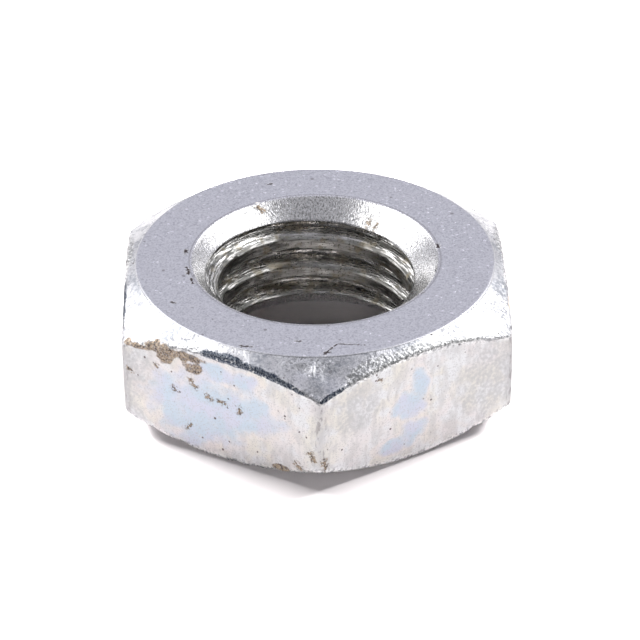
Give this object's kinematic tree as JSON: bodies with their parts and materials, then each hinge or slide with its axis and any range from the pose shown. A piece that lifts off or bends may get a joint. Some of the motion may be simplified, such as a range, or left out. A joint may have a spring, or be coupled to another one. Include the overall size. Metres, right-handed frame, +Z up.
{
  "type": "thin hex nut",
  "caption": "Thin zinc-plated steel hex nut, chamfered on both faces, with a countersunk, internally threaded through bore.",
  "frame": {"origin": "centre of the lower bearing face, on the thread axis", "axes": "+Z up along the thread axis; two opposite wrench flats face +X and -X; two opposite corners point along +Y and -Y"},
  "size_m": [0.017, 0.0196, 0.0058],
  "materials": {
    "zinc_plated_steel": "bright zinc plating with a faint bluish and yellow passivation tint, satin on the turned faces, smoother on the flats"
  },
  "bodies": {
    "root": {"hex_nut": "zinc_plated_steel"}
  },
  "joints": []
}
